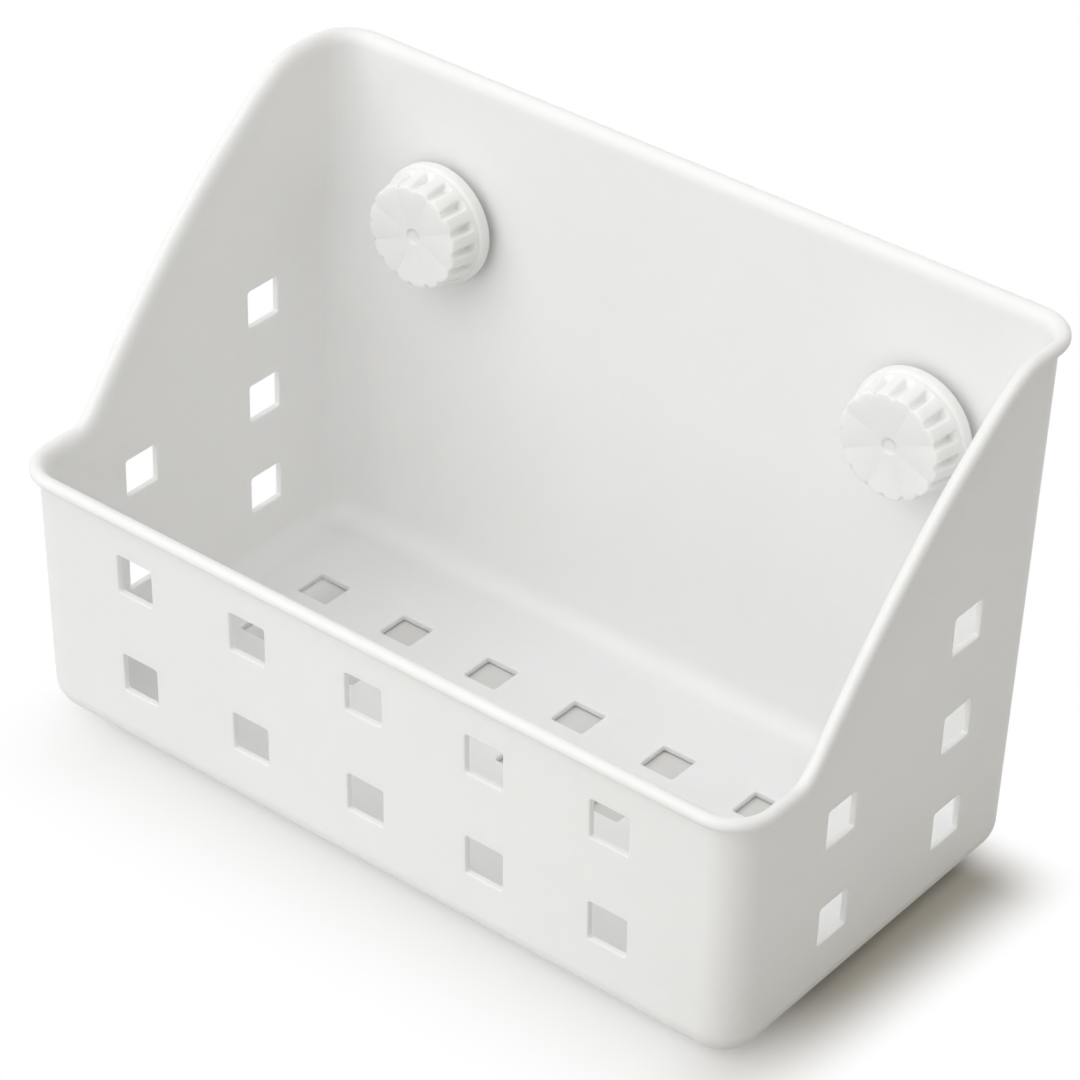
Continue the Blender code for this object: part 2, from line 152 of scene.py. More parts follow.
class Shader:
    """Builds the node tree of one material or of the world."""

    def __init__(self, owner: bpy.types.Material | bpy.types.World) -> None:
        """Starts from an empty tree.

        Args:
            owner: The material or world.
        """
        owner.use_nodes = True
        self.tree = owner.node_tree
        self.tree.nodes.clear()

    def node(
        self,
        kind: str,
        settings: dict[str, object] | None = None,
        inputs: dict[str | int, object] | None = None,
        output: str | int = 0,
    ) -> Value:
        """Adds one node.

        Args:
            kind: The node's type.
            settings: Its own settings, set before its sockets.
            inputs: Values or links for its sockets, by name or number.
            output: The output that is wanted.

        Returns:
            That output.
        """
        made = self.tree.nodes.new(kind)
        for name, setting in (settings or {}).items():
            setattr(made, name, setting)
        for name, given in (inputs or {}).items():
            if isinstance(given, Value):
                self.tree.links.new(given.socket, made.inputs[name])
            else:
                made.inputs[name].default_value = given
        return Value(self, made.outputs[output])

    def place(self) -> Value:
        """The point being shaded, in the object's own coordinates."""
        return self.node("ShaderNodeTexCoord", output="Object")

    def vector(self, operation: str, *values: object, output: str = "Vector") -> Value:
        """Adds one Vector Math node, with its inputs in order."""
        kind = "ShaderNodeVectorMath"
        return self.node(kind, {"operation": operation}, dict(enumerate(values)), output)

    def seen(self) -> Value:
        """Tells the camera's rays from those that only carry light.

        Returns:
            One where the camera sees the point, straight, mirrored or through clear plastic.
        """
        shown = [
            self.node("ShaderNodeLightPath", output=f"Is {ray} Ray")
            for ray in ("Camera", "Glossy", "Transmission")
        ]
        return shown[0].either(shown[1]).either(shown[2])

    def noise(self, place: Value, cell: float, detail: float = 2.0) -> Value:
        """Soft noise around one half, with blotches as large as a cell, in metres."""
        sockets = {"Vector": place, "Scale": 1 / cell, "Detail": detail, "Roughness": 0.5}
        return self.node("ShaderNodeTexNoise", inputs=sockets)

    def blend(self, share: Value | float, first: object, second: object) -> Value:
        """Mixes two colours, or links to colours, by the second one's share."""
        settings = {"data_type": "RGBA", "blend_type": "MIX"}
        return self.node("ShaderNodeMix", settings, {0: share, 6: first, 7: second}, 2)

    def bump(self, height: Value, distance: float, under: Value | None = None) -> Value:
        """Turns a height into a normal.

        Args:
            height: The height, from 0 to 1.
            distance: What a height of 1 measures, in metres.
            under: A normal that this one is laid over.

        Returns:
            The bumped normal.
        """
        sockets = {"Height": height, "Distance": distance, "Strength": 1.0}
        if under is not None:
            sockets["Normal"] = under
        return self.node("ShaderNodeBump", inputs=sockets)

    def finish(self, surface: Value) -> None:
        """Joins a shader to the output.

        Args:
            surface: The shader to show.
        """
        kind = "ShaderNodeOutputMaterial"
        if isinstance(self.tree.id_data, bpy.types.World):
            kind = "ShaderNodeOutputWorld"
        made = self.tree.nodes.new(kind)
        self.tree.links.new(surface.socket, made.inputs["Surface"])


# Finishes


@dataclass(frozen=True)
class MouldedPlastic:
    """Opaque injection-moulded plastic: slow colour drift, flow streaks, sink and mould grain."""

    name: str
    pale: Colour
    deep: Colour
    roughness: float
    grain: Grain
    drift_cell: float = 0.055
    streak_cell: float = 0.006
    sink_cell: float = 0.030
    sink_height: float = 0.00006
    drift_share: float = 0.7
    colour_contrast: tuple[float, float] = (0.35, 0.65)
    rough_contrast: tuple[float, float] = (0.3, 0.7)
    roughness_spread: float = 0.07
    ior: float = 1.49
    glow: float = 0.5
    glow_reach: float = 0.0035
    glow_tint: Colour = (1.0, 0.95, 0.85)

    def build(self) -> bpy.types.Material:
        """Makes the material.

        Returns:
            The finished material.
        """
        made = bpy.data.materials.new(self.name)
        shader = Shader(made)
        place = shader.place()
        drift = shader.noise(place, self.drift_cell)
        streak = shader.noise(place, self.streak_cell, detail=3.0)
        cell, height = self.grain.value
        grain = shader.noise(place, cell, detail=1.0)
        mixed = drift * self.drift_share + streak * (1 - self.drift_share)
        share = mixed.eased(*self.colour_contrast)
        spread = streak * 0.5 + grain * 0.5
        least = self.roughness - self.roughness_spread / 2
        rough = spread.eased(*self.rough_contrast) * self.roughness_spread + least
        sink = shader.noise(place, self.sink_cell, detail=1.0)
        sockets = {
            "Base Color": shader.blend(share, (*self.pale, 1), (*self.deep, 1)),
            "Roughness": rough,
            "Normal": shader.bump(grain, height, shader.bump(sink, self.sink_height)),
            "IOR": self.ior,
            "Subsurface Weight": self.glow,
            "Subsurface Radius": self.glow_tint,
            "Subsurface Scale": self.glow_reach,
        }
        shader.finish(shader.node("ShaderNodeBsdfPrincipled", inputs=sockets))
        return made


@dataclass(frozen=True)
class ClearVinyl:
    """Soft clear vinyl: faintly tinted, with cloudy patches and a slightly rippled surface."""

    name: str
    pale: Colour = (0.965, 0.975, 0.98)
    cloudy: Colour = (0.92, 0.94, 0.95)
    roughness: float = 0.06
    cloudy_roughness: float = 0.08
    cloud_contrast: tuple[float, float] = (0.35, 0.7)
    cloud_cell: float = 0.011
    ripple_cell: float = 0.0035
    ripple_height: float = 0.00001
    ior: float = 1.45
    clarity: float = 0.9

    def build(self) -> bpy.types.Material:
        """Makes the material.

        Returns:
            The finished material.
        """
        made = bpy.data.materials.new(self.name)
        shader = Shader(made)
        place = shader.place()
        cloud = shader.noise(place, self.cloud_cell, detail=4.0).eased(*self.cloud_contrast)
        ripple = shader.noise(place, self.ripple_cell)
        sockets = {
            "Base Color": shader.blend(cloud, (*self.pale, 1), (*self.cloudy, 1)),
            "Roughness": cloud * self.cloudy_roughness + self.roughness,
            "Normal": shader.bump(ripple, self.ripple_height),
            "IOR": self.ior,
            "Transmission Weight": self.clarity,
        }
        shader.finish(shader.node("ShaderNodeBsdfPrincipled", inputs=sockets))
        return made


# Shared modelling


def arc(
    centre: tuple[float, float], radii: tuple[float, float], start: float, end: float, steps: int
) -> Profile:
    """Points along an elliptical arc.

    Args:
        centre: The arc's centre.
        radii: Its two half axes.
        start: The first angle, in degrees.
        end: The last angle, in degrees.
        steps: How many chords it has.

    Returns:
        The points, both ends included.
    """
    turns = [math.radians(start + (end - start) * i / steps) for i in range(steps + 1)]
    return [
        (centre[0] + radii[0] * math.cos(t), centre[1] + radii[1] * math.sin(t)) for t in turns
    ]


def eased(share: float) -> float:
    """A share from 0 to 1, flattened at both ends."""
    share = min(1.0, max(0.0, share))
    return share * share * (3 - 2 * share)


def finely(profile: Profile, longest: float) -> Profile:
    """Splits a profile's long stretches, so that a displacement has points to move.

    Args:
        profile: The profile's points.
        longest: The longest stretch that is left whole.

    Returns:
        The profile with points added.
    """
    points = [profile[0]]
    for (r0, z0), (r1, z1) in zip(profile, profile[1:]):
        count = max(1, math.ceil(math.hypot(r1 - r0, z1 - z0) / longest))
        for step in range(1, count + 1):
            share = step / count
            points.append((r0 + (r1 - r0) * share, z0 + (z1 - z0) * share))
    return points


def turned(profile: Profile, steps: int) -> bmesh.types.BMesh:
    """Turns a profile of (radius, height) points once about Z.

    Args:
        profile: The section, closed by itself or by the axis.
        steps: How many sides the turned shape has.

    Returns:
        The closed mesh, its faces outward.
    """
    bm = bmesh.new()
    points = [bm.verts.new((radius, 0, height)) for radius, height in profile]
    edges = [bm.edges.new(pair) for pair in zip(points, points[1:])]
    if profile[0][0] > 0:
        edges.append(bm.edges.new((points[-1], points[0])))
    bmesh.ops.spin(
        bm,
        geom=[*points, *edges],
        cent=(0, 0, 0),
        axis=(0, 0, 1),
        dvec=(0, 0, 0),
        angle=math.tau,
        steps=steps,
        use_merge=True,
        use_duplicate=False,
    )
    bmesh.ops.remove_doubles(bm, verts=bm.verts[:], dist=WELD)
    bmesh.ops.recalc_face_normals(bm, faces=bm.faces[:])
    return bm


def object_of(
    name: str, bm: bmesh.types.BMesh, place: Matrix | None = None
) -> bpy.types.Object:
    """Ends a bmesh as a linked, smoothly shaded object.

    Args:
        name: The object's name.
        bm: The finished bmesh, which is freed.
        place: The frame that it was made in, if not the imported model's.

    Returns:
        The object.
    """
    if place is not None:
        bmesh.ops.transform(bm, matrix=place, verts=bm.verts[:])
    bmesh.ops.recalc_face_normals(bm, faces=bm.faces[:])
    mesh = bpy.data.meshes.new(name)
    bm.to_mesh(mesh)
    bm.free()
    mesh.shade_smooth()
    made = bpy.data.objects.new(name, mesh)
    bpy.context.scene.collection.objects.link(made)
    return made


def combined(
    base: bpy.types.Object, others: Iterable[tuple[bpy.types.Object, str]]
) -> bmesh.types.BMesh:
    """Runs exact Booleans on a base and removes every object used.

    Args:
        base: The object that is added to or cut.
        others: Pairs of an object and its operation.

    Returns:
        The result as a bmesh.
    """
    others = list(others)
    for other, operation in others:
        modifier = base.modifiers.new(operation.lower(), "BOOLEAN")
        modifier.operation = operation
        modifier.solver = "EXACT"
        modifier.object = other
    graph = bpy.context.evaluated_depsgraph_get()
    result = bpy.data.meshes.new_from_object(base.evaluated_get(graph))
    for used in [base] + [other for other, _ in others]:
        bpy.data.objects.remove(used)
    bm = bmesh.new()
    bm.from_mesh(result)
    bpy.data.meshes.remove(result)
    bmesh.ops.remove_doubles(bm, verts=bm.verts[:], dist=BOOLEAN_WELD)
    return bm


def soften(bm: bmesh.types.BMesh, edges: list, width: float, segments: int) -> None:
    """Rounds sharp edges.

    Args:
        bm: The bmesh.
        edges: The edges to round.
        width: How far the rounding reaches along each face.
        segments: How many facets it has.
    """
    bmesh.ops.bevel(
        bm,
        geom=edges,
        offset=width,
        offset_type="OFFSET",
        segments=segments,
        profile=0.5,
        affect="EDGES",
        clamp_overlap=True,
        material=-1,
    )


def weigh_normals(obj: bpy.types.Object) -> None:
    """Keeps large faces flat where they meet a rounding.

    Args:
        obj: The object.
    """
    modifier = obj.modifiers.new("weighted_normals", "WEIGHTED_NORMAL")
    modifier.mode = "FACE_AREA"
    modifier.weight = FLAT_FACE_WEIGHT


def settle(
    obj: bpy.types.Object, finish: bpy.types.Material, body: str, node: str
) -> None:
    """Dresses a finished piece, and sets it to move with its body in place of its CAD node.

    Args:
        obj: The piece.
        finish: Its material.
        body: The CAD body that carries it.
        node: The CAD node that it stands for.
    """
    obj.data.materials.clear()
    obj.data.materials.append(finish)
    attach(obj, body)
    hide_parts(node)
    LOG.info("%s: %d faces on body %s", obj.name, len(obj.data.polygons), body)


# The moulded basket

Column = tuple[int, int, float, float]
Ring = Callable[[Column], Vector]


@dataclass
class Basket:
    """The one-piece moulded basket."""

    half_width: float = 0.1162
    depth: float = 0.1223
    front_height: float = 0.0785
    back_height: float = 0.1569
    wall: float = 0.002
    floor: float = 0.002
    side_draft: float = math.radians(0.37)
    front_draft: float = math.radians(1.88)
    back_draft: float = math.radians(1.1)
    corner_radius: float = 0.0108
    edge_radius: float = 0.009
    corner_steps: int = 20
    edge_steps: int = 12
    sweep_steps: int = 110

    lip_radius: float = 0.0019
    lip_offset: float = 0.0007
    flare_height: float = 0.0039
    flare_steps: int = 9
    lip_steps: int = 18
    undercut: float = 0.0004
    rim_passes: int = 5

    sweep_start: float = 0.0182
    knee_run: float = 0.0141
    knee_rise: float = 0.0138
    knee_slope: float = 1.252
    shoulder_run: float = 0.0266
    shoulder_drop: float = 0.0154
    shoulder_slope: float = 0.778
    sweep_margin: float = 0.0156

    hole_width: float = 0.0119
    front_hole_height: float = 0.0119
    side_hole_height: float = 0.0115
    hole_corner: float = 0.0007
    hole_corner_steps: int = 4
    front_first_row: float = 0.0259
    front_columns: int = 5
    front_pitch: float = 0.03887
    front_rows: int = 2
    front_row_pitch: float = 0.0322
    side_first_row: float = 0.0253
    side_front_column: float = 0.0399
    side_column_pitch: float = 0.0493
    side_rows: tuple[int, int] = (2, 3)
    side_row_pitch: float = 0.0303
    floor_hole_width: float = 0.0107
    floor_hole_depth: float = 0.0107
    floor_columns: int = 7
    floor_pitch: float = 0.0305
    floor_rows: int = 3
    floor_row_pitch: float = 0.0238
    floor_back_row: float = 0.0348

    boss_radius: float = 0.0135
    boss_height: float = 0.0024
    bore_radius: float = 0.0041
    bore_sides: int = 72
    overrun: float = 0.004
    edge_rounding: float = 0.0004
    edge_rounding_steps: int = 3
    sharpest_left: float = math.radians(35)

    def columns(self) -> list[Column]:
        """Splits the outline into columns.

        Returns:
            For each, the corner at each end, the angle there, and the share between.
        """
        found = []
        for corner in range(4):
            start = 180 + 90 * corner
            for step in range(self.corner_steps + 1):
                angle = math.radians(start + 90 * step / self.corner_steps)
                found.append((corner, corner, angle, 0.0))
            if corner in (1, 3):
                angle = math.radians(start + 90)
                for step in range(1, self.sweep_steps):
                    found.append((corner, (corner + 1) % 4, angle, step / self.sweep_steps))
        return found

    def corner_centre(self, corner: int, z: float) -> Vector:
        """Centre of a plan corner's arc at a height.

        Args:
            corner: Front left, front right, back right or back left, from 0.
            z: The height.

        Returns:
            The centre in plan.
        """
        x = self.half_width + math.tan(self.side_draft) * z - self.corner_radius
        front = self.corner_radius - math.tan(self.front_draft) * z
        back = self.depth + math.tan(self.back_draft) * z - self.corner_radius
        return Vector((x if corner in (1, 2) else -x, back if corner in (2, 3) else front))

    def plan_point(self, column: Column, offset: float, z: float) -> Vector:
        """The outline's point on a column.

        Args:
            column: The column.
            offset: How far outward from the outer face.
            z: The height.

        Returns:
            The point in plan.
        """
        first, second, angle, share = column
        centre = self.corner_centre(first, z).lerp(self.corner_centre(second, z), share)
        reach = self.corner_radius + offset
        return centre + reach * Vector((math.cos(angle), math.sin(angle)))

    def sweep(self, y: float) -> tuple[float, float]:
        """The lip's centre line over the side walls.

        Args:
            y: How far back from the foot of the front wall.

        Returns:
            Its height and its slope there.
        """
        low = self.front_height - self.lip_radius
        high = self.back_height - self.lip_radius
        end = self.depth - self.sweep_margin
        knots = (
            (self.sweep_start, low, 0.0),
            (self.sweep_start + self.knee_run, low + self.knee_rise, self.knee_slope),
            (end - self.shoulder_run, high - self.shoulder_drop, self.shoulder_slope),
            (end, high, 0.0),
        )
        if y <= self.sweep_start:
            return low, 0.0
        if y >= end:
            return high, 0.0
        (y0, z0, m0), (y1, z1, m1) = next(
            pair for pair in zip(knots, knots[1:]) if y <= pair[1][0]
        )
        run = y1 - y0
        t = (y - y0) / run
        height = (
            (2 * t**3 - 3 * t**2 + 1) * z0
            + (t**3 - 2 * t**2 + t) * run * m0
            + (3 * t**2 - 2 * t**3) * z1
            + (t**3 - t**2) * run * m1
        )
        slope = (
            (6 * t**2 - 6 * t) * (z0 - z1) / run
            + (3 * t**2 - 4 * t + 1) * m0
            + (3 * t**2 - 2 * t) * m1
        )
        return height, slope

    def rim_point(self, column: Column, outward: float, above: float) -> Vector:
        """A point of the rim's section, set square to the sweep.

        Args:
            column: The column of the outline.
            outward: How far outward from the wall's outer face.
            above: How far above the lip's centre line.

        Returns:
            The point.
        """
        z, slope = self.front_height, 0.0
        for _ in range(self.rim_passes):
            z, slope = self.sweep(self.plan_point(column, 0, z).y)
        turn = math.atan(slope)
        height = z + above * math.cos(turn)
        flat = self.plan_point(column, outward, z)
        drift = self.plan_point(column, outward, height) - flat
        return Vector((flat.x + drift.x, flat.y + drift.y - above * math.sin(turn), height))

    def wall_point(self, column: Column, offset: float, z: float) -> Vector:
        """A point of the shell, so far outward from its outer face and so high."""
        return self.plan_point(column, offset, z).to_3d() + Vector((0, 0, z))

    def rings(self) -> list[Ring]:
        """Lays out the shell's section, from the inner floor over the rim to the outer floor.

        Returns:
            For each point of it, what gives the point on a column.
        """
        found: list[Ring] = []
        inner = self.edge_radius - self.wall
        for inset, z in arc((0, self.floor + inner), (inner, inner), -90, 0, self.edge_steps):
            offset = inset - inner - self.wall
            found.append(lambda c, o=offset, z=z: self.wall_point(c, o, z))
        start = (self.lip_offset, self.lip_radius - self.flare_height)
        reach = (self.wall + self.lip_offset, self.flare_height)
        section = arc(start, reach, 180, 90, self.flare_steps)
        lip = (self.lip_radius, self.lip_radius)
        section += arc((self.lip_offset, 0), lip, 90, -90, self.lip_steps)[1:]
        section.append((0, -self.lip_radius - self.undercut))
        for outward, above in section:
            found.append(lambda c, o=outward, v=above: self.rim_point(c, o, v))
        edge = (self.edge_radius, self.edge_radius)
        for inset, z in arc((0, self.edge_radius), edge, 0, -90, self.edge_steps):
            offset = inset - self.edge_radius
            found.append(lambda c, o=offset, z=z: self.wall_point(c, o, z))
        return found

    def shell(self) -> bmesh.types.BMesh:
        """The shell without holes: a grid laid over the section and the outline.

        Returns:
            The closed mesh, its flat walls each one face.
        """
        columns = self.columns()
        columns.append(columns[0])
        rings = self.rings()
        across, up = len(columns) - 1, len(rings) - 1
        bm = bmesh.new()
        bmesh.ops.create_grid(bm, x_segments=across, y_segments=up, size=1)
        for vert in bm.verts:
            column = columns[round((vert.co.x + 1) / 2 * across)]
            vert.co = rings[round((vert.co.y + 1) / 2 * up)](column)
        bmesh.ops.remove_doubles(bm, verts=bm.verts[:], dist=WELD)
        open_edges = [edge for edge in bm.edges if edge.is_boundary]
        bmesh.ops.holes_fill(bm, edges=open_edges, sides=0)
        bmesh.ops.recalc_face_normals(bm, faces=bm.faces[:])
        bmesh.ops.dissolve_limit(
            bm, angle_limit=FLAT_ANGLE, verts=bm.verts[:], edges=bm.edges[:]
        )
        return bm

    def add_hole(
        self, bm: bmesh.types.BMesh, centre: Vector, size: tuple[float, ...], along: int
    ) -> None:
        """Adds one hole's cutter: a box with its long edges rounded.

        Args:
            bm: The bmesh of all the cutters.
            centre: The hole's centre.
            size: The box's three sides.
            along: The axis that the hole runs along.
        """
        scaled = Matrix.Translation(centre) @ Matrix.Diagonal((*size, 1))
        made = bmesh.ops.create_cube(bm, size=1, matrix=scaled)
        edges = {edge for vert in made["verts"] for edge in vert.link_edges}
        long_edges = [
            edge
            for edge in edges
            if abs(edge.verts[0].co[along] - edge.verts[1].co[along]) > size[along] / 2
        ]
        soften(bm, long_edges, self.hole_corner, self.hole_corner_steps)

    def hole_cutter(self) -> bpy.types.Object:
        """Gathers every drain hole of the basket.

        Returns:
            One object that cuts them all.
        """
        bm = bmesh.new()
        through = 2 * (self.wall + self.overrun)
        for row in range(self.front_rows):
            z = self.front_first_row + row * self.front_row_pitch
            y = self.wall / 2 - math.tan(self.front_draft) * z
            for column in range(self.front_columns):
                x = (column - (self.front_columns - 1) / 2) * self.front_pitch
                size = (self.hole_width, through, self.front_hole_height)
                self.add_hole(bm, Vector((x, y, z)), size, 1)
        for side in (-1, 1):
            for column, rows in enumerate(self.side_rows):
                y = self.side_front_column + column * self.side_column_pitch
                for row in range(rows):
                    z = self.side_first_row + row * self.side_row_pitch
                    x = self.half_width + math.tan(self.side_draft) * z - self.wall / 2
                    size = (through, self.hole_width, self.side_hole_height)
                    self.add_hole(bm, Vector((side * x, y, z)), size, 0)
        for row in range(self.floor_rows):
            y = self.depth - self.floor_back_row - row * self.floor_row_pitch
            for column in range(self.floor_columns):
                x = (column - (self.floor_columns - 1) / 2) * self.floor_pitch
                deep = self.floor + 2 * self.overrun
                size = (self.floor_hole_width, self.floor_hole_depth, deep)
                self.add_hole(bm, Vector((x, y, self.floor / 2)), size, 2)
        return object_of("hole_cutter", bm)

    def cylinders(
        self, name: str, places: list[Matrix], radius: float, back: float, front: float
    ) -> bpy.types.Object:
        """A cylinder on each fixing's axis.

        Args:
            name: The object's name.
            places: The fixings' frames.
            radius: The cylinder's radius.
            back: Where it starts along the axis.
            front: Where it ends.

        Returns:
            One object that holds them all.
        """
        bm = bmesh.new()
        for place in places:
            bmesh.ops.create_cone(
                bm,
                cap_ends=True,
                segments=self.bore_sides,
                radius1=radius,
                radius2=radius,
                depth=front - back,
                matrix=place @ Matrix.Translation((0, 0, (back + front) / 2)),
            )
        return object_of(name, bm)

    def build(self, finish: bpy.types.Material, places: list[Matrix]) -> bpy.types.Object:
        """Builds and dresses the basket.

        Args:
            finish: Its material.
            places: The frames of its fixings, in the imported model's frame.

        Returns:
            The basket.
        """
        lowest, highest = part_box("basket")
        foot = math.tan(self.front_draft) * (self.front_height - self.lip_radius)
        shift = Matrix.Translation((0, lowest.y + foot + self.lip_offset + self.lip_radius, 0))
        shell = object_of("shell", self.shell())
        shell.data.transform(shift)
        holes = self.hole_cutter()
        holes.data.transform(shift)
        bosses = self.cylinders(
            "bosses", places, self.boss_radius, -self.wall / 2, self.boss_height
        )
        bores = self.cylinders("bores", places, self.bore_radius, -self.overrun, self.overrun)
        bm = combined(
            shell, ((bosses, "UNION"), (holes, "DIFFERENCE"), (bores, "DIFFERENCE"))
        )
        sharp = [
            edge
            for edge in bm.edges
            if len(edge.link_faces) == 2
            and edge.is_convex
            and edge.calc_face_angle() > self.sharpest_left
            and not self.on_rim(edge, shift.translation.y)
        ]
        soften(bm, sharp, self.edge_rounding, self.edge_rounding_steps)
        made = object_of("moulded_basket", bm)
        weigh_normals(made)
        settle(made, finish, "basket", "basket")
        LOG.info("basket height %.4f, packed %.4f", made.dimensions.z, highest.z - lowest.z)
        return made

    def on_rim(self, edge: bmesh.types.BMEdge, shift: float) -> bool:
        """Whether an edge belongs to the rolled rim.

        Args:
            edge: The edge.
            shift: How far the basket was moved along Y.

        Returns:
            True on the rim.
        """
        middle = (edge.verts[0].co + edge.verts[1].co) / 2
        rim = self.sweep(middle.y - shift)[0]
        reach = self.flare_height + self.lip_radius
        return middle.z > max(self.front_height, rim) - reach


# The fixings. Each piece is turned about Z, which points forward from the back wall's inner face.


@dataclass
class Knob:
    """The fluted clamp knob: a pleated face, a tapered grip, a plain skirt and a hollow back."""

    back: float = 0.0027
    length: float = 0.0152
    base_radius: float = 0.0172
    grip_radius: float = 0.0164
    face_radius: float = 0.0149
    flange_front: float = 0.0062
    flange_rounding: float = 0.0008
    edge: float = 0.0006
    face_thickness: float = 0.0024
    dish: float = 0.0008
    nut_radius: float = 0.0066
    hollow_radius: float = 0.0126
    bore_radius: float = 0.0041
    bore_end: float = 0.0028
    eye_radius: float = 0.0021
    eye_depth: float = 0.0003
    eye_slope: float = 0.0005
    flutes: int = 16
    flute_floor: float = 0.0140
    flute_shallow: float = 0.0003
    flute_half_width: float = 0.0004
    flute_shoulder: float = 0.0011
    flute_start: float = 0.0072
    flute_end_run: float = 0.0012
    pleats: int = 8
    pleat_depth: float = 0.00045
    pleat_turn: float = math.radians(24)
    sides: int = 480
    finest: float = 0.0004
    face_coarseness: int = 3
    eye_steps: int = 4
    edge_steps: int = 5
    crease_steps: int = 6
    crease_angle: float = 80

    def profile(self) -> Profile:
        """Draws the knob's section before its flutes and pleats.

        Returns:
            Its points, from the middle of the face round to the end of the bore.
        """
        face = self.length
        grip = self.face_radius - self.edge
        hollow = face - self.dish - self.face_thickness
        eye = face - self.dish - self.eye_depth
        front = [(0, eye), (self.eye_radius, eye)]
        turn = (self.eye_radius + self.eye_slope, eye)
        front += arc(turn, (self.eye_slope, self.eye_depth), 180, 90, self.eye_steps)
        front.append(((self.eye_radius + self.face_radius) / 2, face - self.dish / 2))
        side = arc((grip, face - self.edge), (self.edge, self.edge), 90, 0, self.edge_steps)
        side.append((self.grip_radius, self.flange_front))
        round_off = self.flange_rounding
        turn = (self.base_radius - round_off, self.flange_front - round_off)
        side += arc(turn, (round_off, round_off), self.crease_angle, 0, self.crease_steps)
        turn = (self.base_radius - self.edge / 2, self.back + self.edge)
        side += arc(turn, (self.edge / 2, self.edge), 0, -90, self.edge_steps)
        inside = [
            (self.hollow_radius, self.back),
            (self.hollow_radius, hollow),
            (self.nut_radius, hollow),
            (self.nut_radius, self.back),
            (self.bore_radius, self.back),
            (self.bore_radius, face - self.bore_end),
            (0, face - self.bore_end),
        ]
        face_points = finely([*front, side[0]], self.face_coarseness * self.finest)
        return face_points + finely(side, self.finest)[1:] + inside

    def fluted(self, radius: float, angle: float, z: float) -> float:
        """The grip's radius where a flute may cut it.

        Args:
            radius: The radius before the flutes.
            angle: The angle about the axis.
            z: The place along the axis.

        Returns:
            The radius left.
        """
        turns = angle * self.flutes / math.tau
        across = abs(turns - round(turns)) * math.tau / self.flutes * self.flute_floor
        depth = 1 - eased((across - self.flute_half_width) / self.flute_shoulder)
        depth *= eased((z - self.flute_start) / self.flute_end_run)
        along = eased((z - self.flute_start) / (self.length - self.flute_start))
        floor = self.flute_floor + self.flute_shallow * along
        return radius - max(0, radius - floor) * depth

    def build(self, finish: bpy.types.Material, side: Side, place: Matrix) -> bpy.types.Object:
        """Builds and dresses one knob.

        Args:
            finish: Its material.
            side: The fixing that it belongs to.
            place: The fixing's frame.

        Returns:
            The knob.
        """
        bm = turned(self.profile(), self.sides)
        inner = self.eye_radius + self.eye_slope
        outer = self.face_radius - self.edge
        lowest = self.length - self.dish - self.eye_depth / 2
        for vert in bm.verts:
            radius = math.hypot(vert.co.x, vert.co.y)
            angle = math.atan2(vert.co.y, vert.co.x)
            if radius > self.flute_floor and vert.co.z > self.flute_start:
                left = self.fluted(radius, angle, vert.co.z)
                vert.co.x *= left / radius
                vert.co.y *= left / radius
            if vert.co.z < lowest or radius < inner:
                continue
            turn = (angle - self.pleat_turn) * self.pleats / math.tau
            fold = (2 * (turn - math.floor(turn)) - 1) ** 2
            deepening = min(1, (radius - inner) / (outer - inner))
            vert.co.z -= self.pleat_depth * fold * deepening
        made = object_of(f"fluted_knob_{side.value}", bm, place)
        settle(made, finish, f"{side.value}_knob", f"knob_{side.value}")
        return made


@dataclass
class PressureDome:
    """The stiff dish behind the wall that presses the cup's flange down."""

    front: float = -0.0023
    rim: float = -0.0132
    wall: float = 0.0016
    hub_radius: float = 0.009
    radius: float = 0.0222
    bore_radius: float = 0.0041
    lip: float = 0.0005
    lowest_angle: float = 4
    steps: int = 14
    lip_steps: int = 8
    sides: int = 144

    def build(self, finish: bpy.types.Material, side: Side, place: Matrix) -> bpy.types.Object:
        """Builds and dresses one dome.

        Args:
            finish: Its material.
            side: The fixing that it belongs to.
            place: The fixing's frame.

        Returns:
            The dome.
        """
        rise = self.front - self.rim
        reach = self.radius - self.hub_radius
        centre = (self.hub_radius, self.rim)
        thin = (reach - self.wall, rise - self.wall)
        outside = arc(centre, (reach, rise), 90, self.lowest_angle, self.steps)
        middle = (self.radius - self.wall / 2, self.rim + self.lip)
        rounded = arc(middle, (self.wall / 2, self.lip), 0, -180, self.lip_steps)
        inside = arc(centre, thin, self.lowest_angle, 90, self.steps)
        profile = [(self.bore_radius, self.front), *outside, *rounded, *inside]
        profile.append((self.bore_radius, self.front - self.wall))
        bm = turned(profile, self.sides)
        made = object_of(f"dome_{side.value}", bm, place)
        weigh_normals(made)
        node = f"pressure_dome_{side.value}"
        settle(made, finish, "basket", node)
        return made


